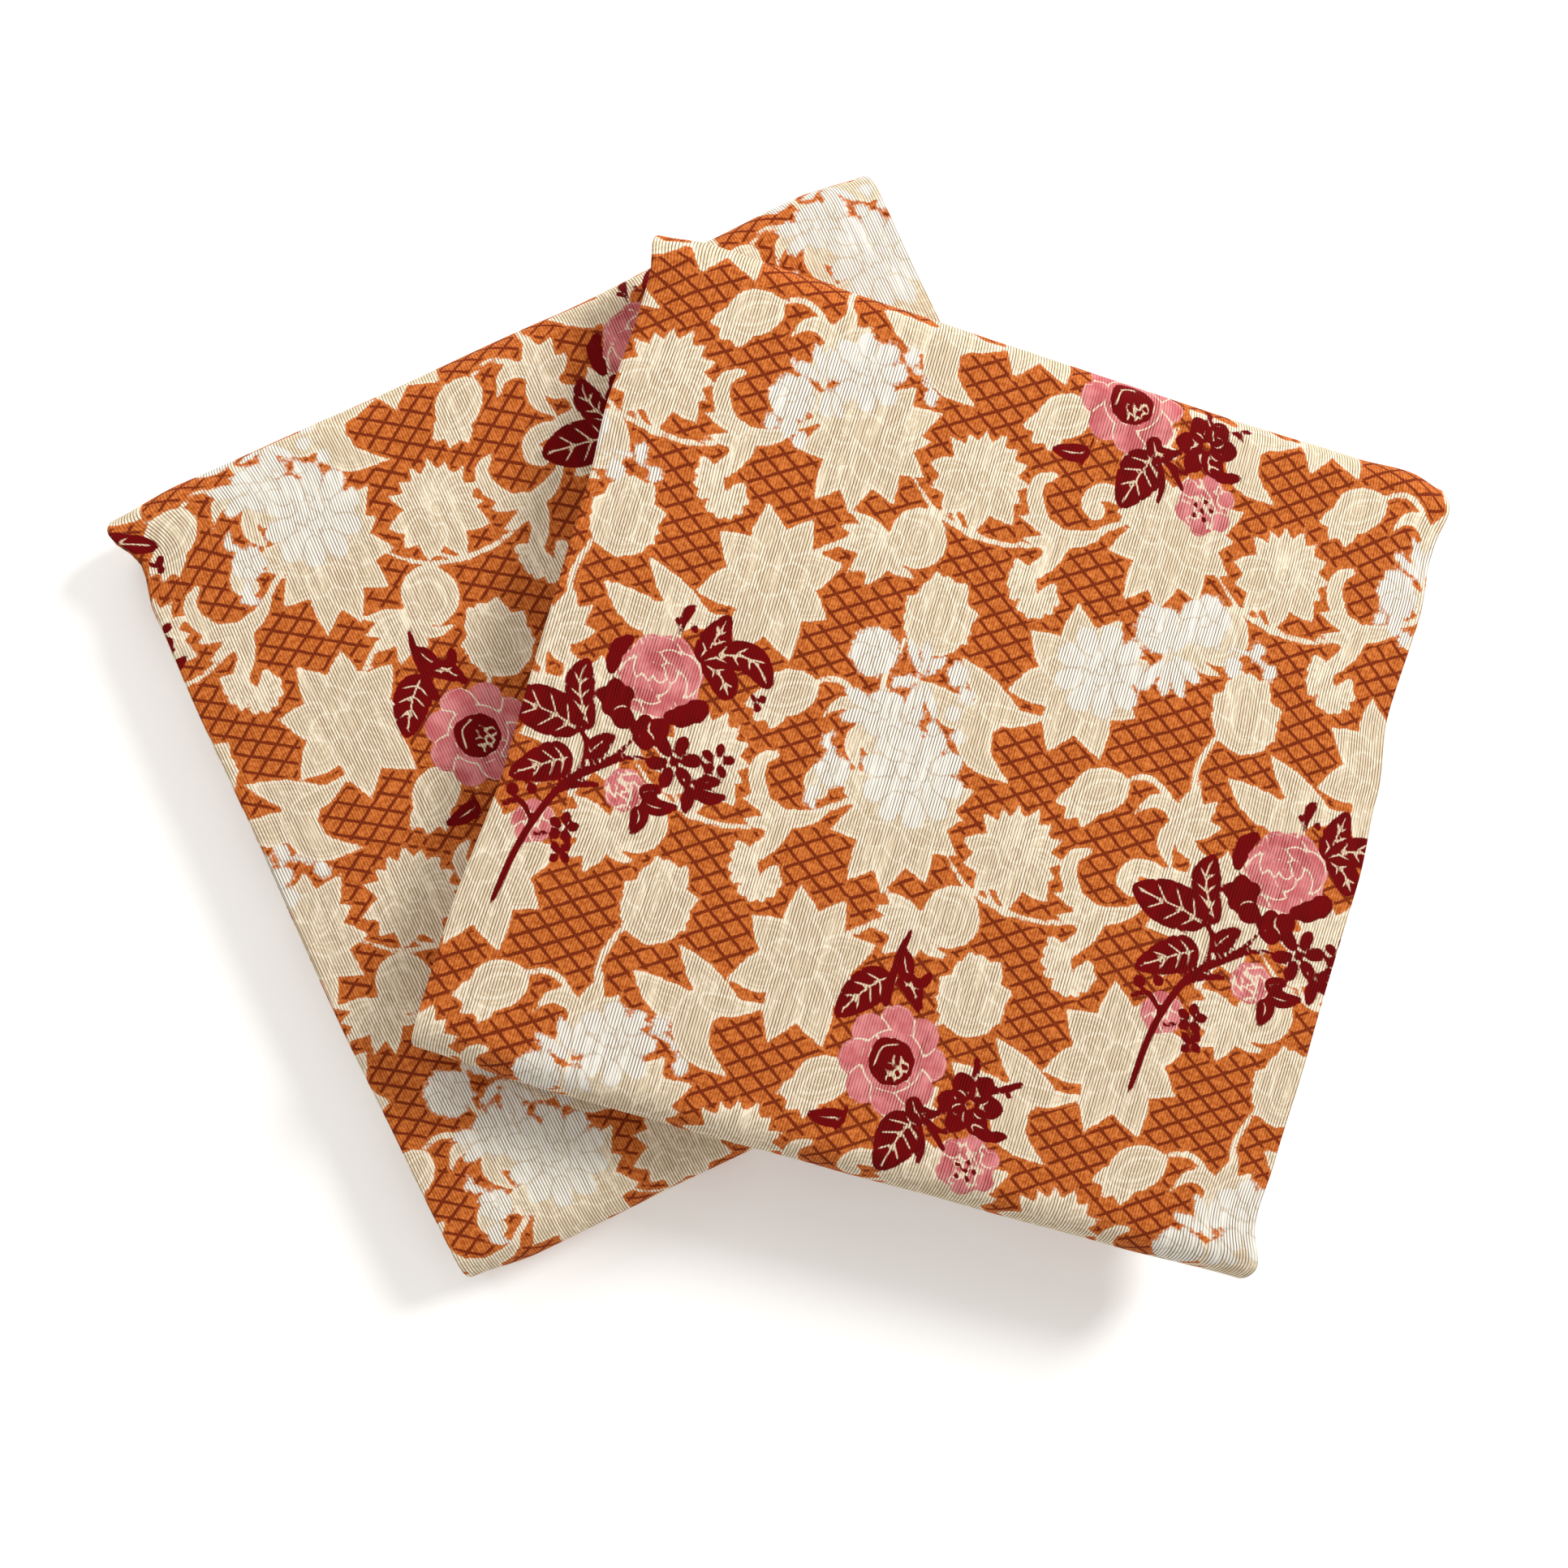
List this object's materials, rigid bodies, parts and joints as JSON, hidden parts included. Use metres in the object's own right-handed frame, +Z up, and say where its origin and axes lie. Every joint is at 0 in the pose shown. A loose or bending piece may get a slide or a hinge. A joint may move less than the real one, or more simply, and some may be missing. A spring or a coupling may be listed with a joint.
{
  "type": "fabric bolt",
  "caption": "Printed cotton folded lengthwise in four and wound flat round corrugated boards, as two soft square mini bolts stacked crosswise.",
  "frame": {"origin": "on the surface it lies on, under the middle of the stack's box", "axes": "+Z up; seen from above, +X runs to the right and +Y away from the viewer; the lower bolt is turned 24.7 degrees about +Z and the upper one -17.1 degrees"},
  "size_m": [0.4674, 0.3924, 0.0595],
  "materials": {
    "printed_cotton": "matte woven cotton, floral print on burnt orange",
    "kraft_liner": "smooth kraft paper",
    "kraft_medium": "fluted recycled paper"
  },
  "bodies": {
    "lower_cloth": {"lower_wound_cloth": "printed_cotton"},
    "lower_board": {"lower_board_top_liner": "kraft_liner", "lower_board_fluted_medium": "kraft_medium", "lower_board_bottom_liner": "kraft_liner"},
    "upper_cloth": {"upper_wound_cloth": "printed_cotton"},
    "upper_board": {"upper_board_top_liner": "kraft_liner", "upper_board_fluted_medium": "kraft_medium", "upper_board_bottom_liner": "kraft_liner"}
  },
  "joints": [
    {"name": "upper_lift", "type": "slide", "parent": "lower_cloth", "child": "upper_cloth", "axis": [0, 0, 1], "range_m": [0, 0.15]},
    {"name": "lower_board_slide", "type": "slide", "parent": "lower_cloth", "child": "lower_board", "axis": [0.9085, 0.4179, 0], "range_m": [-0.26, 0.26]},
    {"name": "upper_board_slide", "type": "slide", "parent": "upper_cloth", "child": "upper_board", "axis": [0.9558, -0.294, 0], "range_m": [-0.26, 0.26]}
  ]
}
